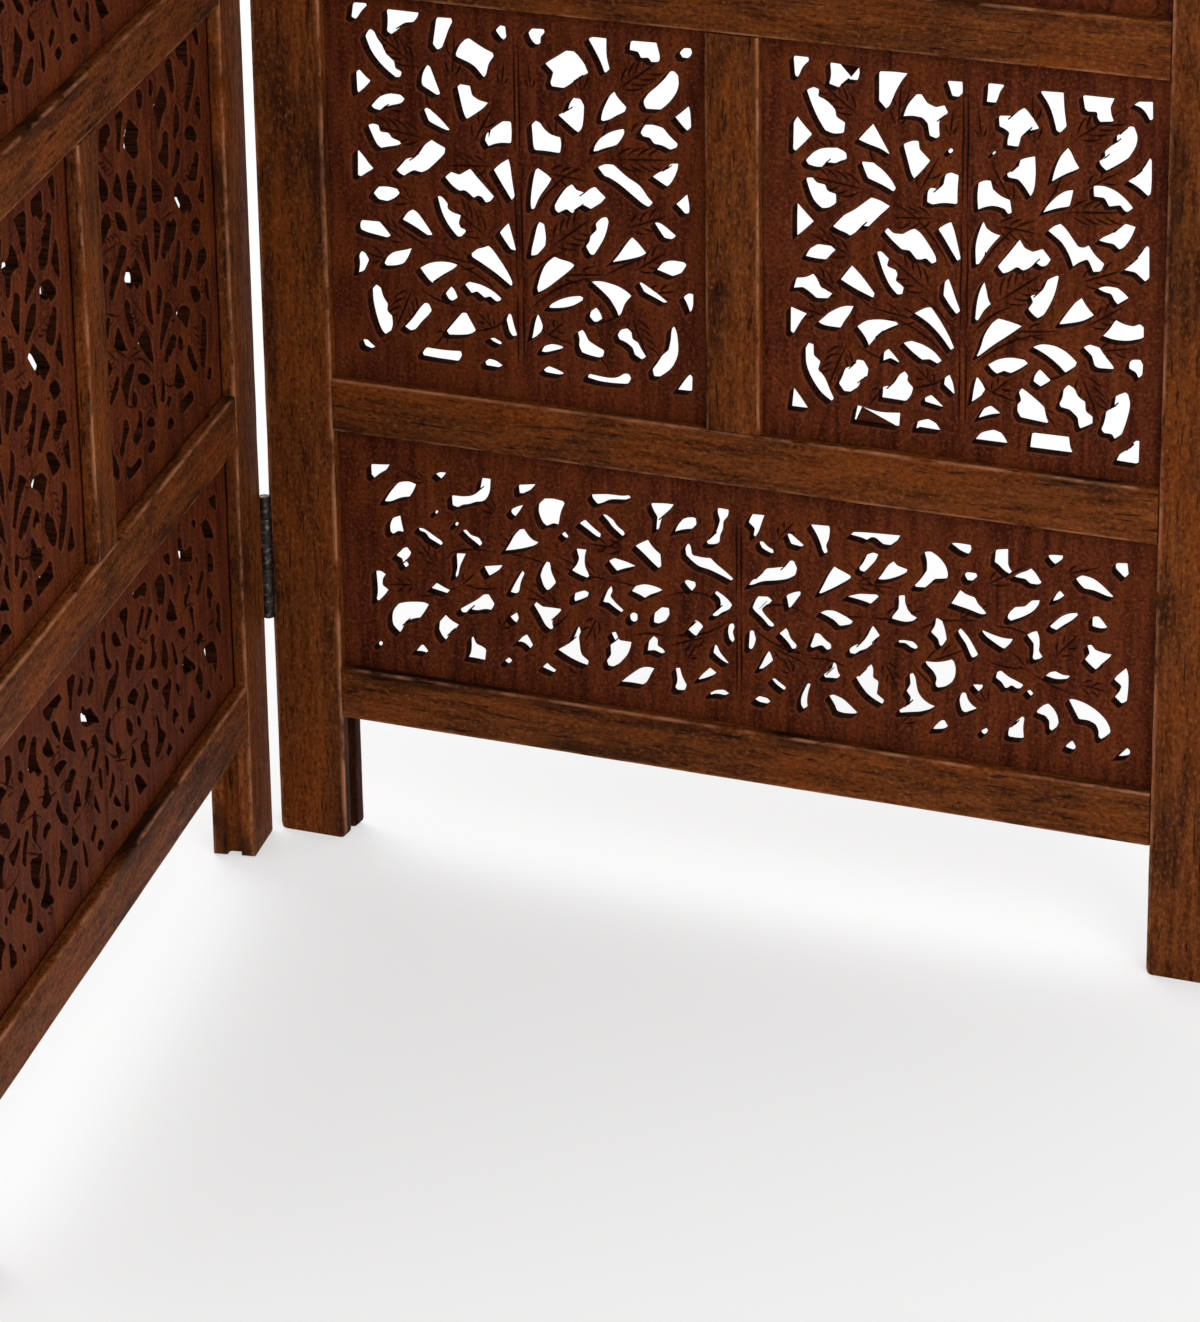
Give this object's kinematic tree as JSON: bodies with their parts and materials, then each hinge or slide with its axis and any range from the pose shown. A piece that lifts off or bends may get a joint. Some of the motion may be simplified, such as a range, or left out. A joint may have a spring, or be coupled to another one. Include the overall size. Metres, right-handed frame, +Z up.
{
  "type": "folding jali screen",
  "caption": "Folding floor screen in dark carved hardwood: hinged leaves on legs, each a grooved frame holding rows of pierced tree-pattern jali panels under a cusped crest.",
  "frame": {"origin": "on the floor, under the centre of the bounding box of the screen as it stands open", "axes": "+Z up; +X along the right leaf, away from the hinges; -Y is the side that the right leaf's front face looks to, and the left leaf stands folded towards it"},
  "size_m": [0.532, 0.5274, 1.524],
  "materials": {
    "frame_wood": "waxed dark hardwood with worn edges",
    "carved_wood": "waxed red-brown hardwood, carved and pierced",
    "hinge_plate_metal": "dark oiled iron",
    "screw_metal": "dulled steel",
    "pin_metal": "dulled steel"
  },
  "bodies": {
    "right_leaf": {"right_leaf_bottom_rail": "frame_wood", "right_leaf_crest": "carved_wood", "right_leaf_hinge_plates": "hinge_plate_metal", "right_leaf_hinge_screws": "screw_metal", "right_leaf_hinge_stile": "frame_wood", "right_leaf_outer_stile": "frame_wood", "right_leaf_rail_2": "frame_wood", "right_leaf_rail_3": "frame_wood", "right_leaf_rail_4": "frame_wood", "right_leaf_rail_5": "frame_wood", "right_leaf_rail_6": "frame_wood", "right_leaf_rail_7": "frame_wood", "right_leaf_row_1_band_panel": "carved_wood", "right_leaf_row_2_muntin": "frame_wood", "right_leaf_row_2_tree_panel_left": "carved_wood", "right_leaf_row_2_tree_panel_right": "carved_wood", "right_leaf_row_3_band_panel": "carved_wood", "right_leaf_row_4_muntin": "frame_wood", "right_leaf_row_4_tree_panel_left": "carved_wood", "right_leaf_row_4_tree_panel_right": "carved_wood", "right_leaf_row_5_band_panel": "carved_wood", "right_leaf_row_6_muntin": "frame_wood", "right_leaf_row_6_tree_panel_left": "carved_wood", "right_leaf_row_6_tree_panel_right": "carved_wood", "right_leaf_row_7_band_panel": "carved_wood", "right_leaf_top_rail": "frame_wood", "hinge_pins": "pin_metal"},
    "left_leaf": {"left_leaf_bottom_rail": "frame_wood", "left_leaf_crest": "carved_wood", "left_leaf_hinge_plates": "hinge_plate_metal", "left_leaf_hinge_screws": "screw_metal", "left_leaf_hinge_stile": "frame_wood", "left_leaf_outer_stile": "frame_wood", "left_leaf_rail_2": "frame_wood", "left_leaf_rail_3": "frame_wood", "left_leaf_rail_4": "frame_wood", "left_leaf_rail_5": "frame_wood", "left_leaf_rail_6": "frame_wood", "left_leaf_rail_7": "frame_wood", "left_leaf_row_1_band_panel": "carved_wood", "left_leaf_row_2_muntin": "frame_wood", "left_leaf_row_2_tree_panel_left": "carved_wood", "left_leaf_row_2_tree_panel_right": "carved_wood", "left_leaf_row_3_band_panel": "carved_wood", "left_leaf_row_4_muntin": "frame_wood", "left_leaf_row_4_tree_panel_left": "carved_wood", "left_leaf_row_4_tree_panel_right": "carved_wood", "left_leaf_row_5_band_panel": "carved_wood", "left_leaf_row_6_muntin": "frame_wood", "left_leaf_row_6_tree_panel_left": "carved_wood", "left_leaf_row_6_tree_panel_right": "carved_wood", "left_leaf_row_7_band_panel": "carved_wood", "left_leaf_top_rail": "frame_wood"}
  },
  "joints": [
    {"name": "leaf_hinge", "type": "hinge", "parent": "right_leaf", "child": "left_leaf", "pos_m": [-0.24326, 0.2402, 0.7], "axis": [0, 0, 1], "range_deg": [-101.4, 78.6]}
  ]
}
